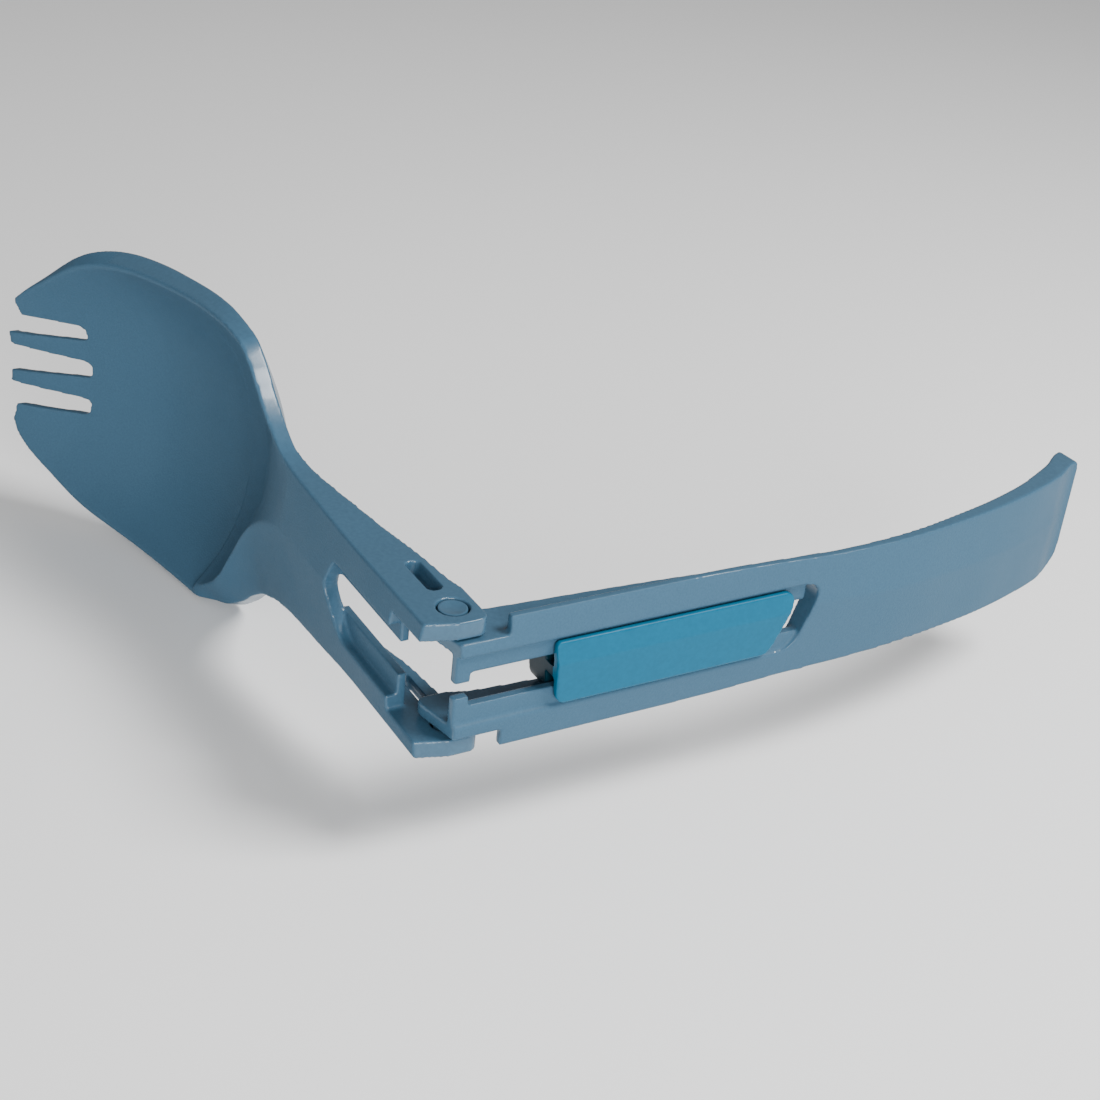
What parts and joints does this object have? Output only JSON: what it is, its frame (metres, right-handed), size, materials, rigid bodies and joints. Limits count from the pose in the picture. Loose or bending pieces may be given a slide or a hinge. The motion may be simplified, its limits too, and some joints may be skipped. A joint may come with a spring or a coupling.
{
  "type": "folding spork",
  "caption": "Folding moulded-plastic spork: a deep four-tined bowl on a forked neck, a hinged handle under it, and a sliding button that locks the two straight.",
  "frame": {"origin": "under the middle of the object's box, at the level of its lowest point, with the spork half folded and on its side", "axes": "+Z along the hinge pins, from one long edge of the spork to the other; -X from the hinge towards the bowl; +Y from the hinge towards the handle's tail"},
  "size_m": [0.1034, 0.1202, 0.0456],
  "materials": {
    "body": "slate blue moulded plastic, fine grain on the decks, satin on the side walls",
    "lock": "turquoise moulded plastic, smooth satin"
  },
  "bodies": {
    "head": {"spork_head": "body", "pivot_pin_upper": "body", "pivot_pin_lower": "body"},
    "handle_body": {"handle": "body"},
    "lock_body": {"slide_lock": "lock"}
  },
  "joints": [
    {"name": "fold", "type": "hinge", "parent": "head", "child": "handle_body", "pos_m": [0.0465, -0.0385, 0.02311], "axis": [0, 0, 1], "range_deg": [-90, 88]},
    {"name": "lock_slide", "type": "slide", "parent": "handle_body", "child": "lock_body", "axis": [0, 1, 0], "range_m": [-0.0295, 0.0032]}
  ]
}
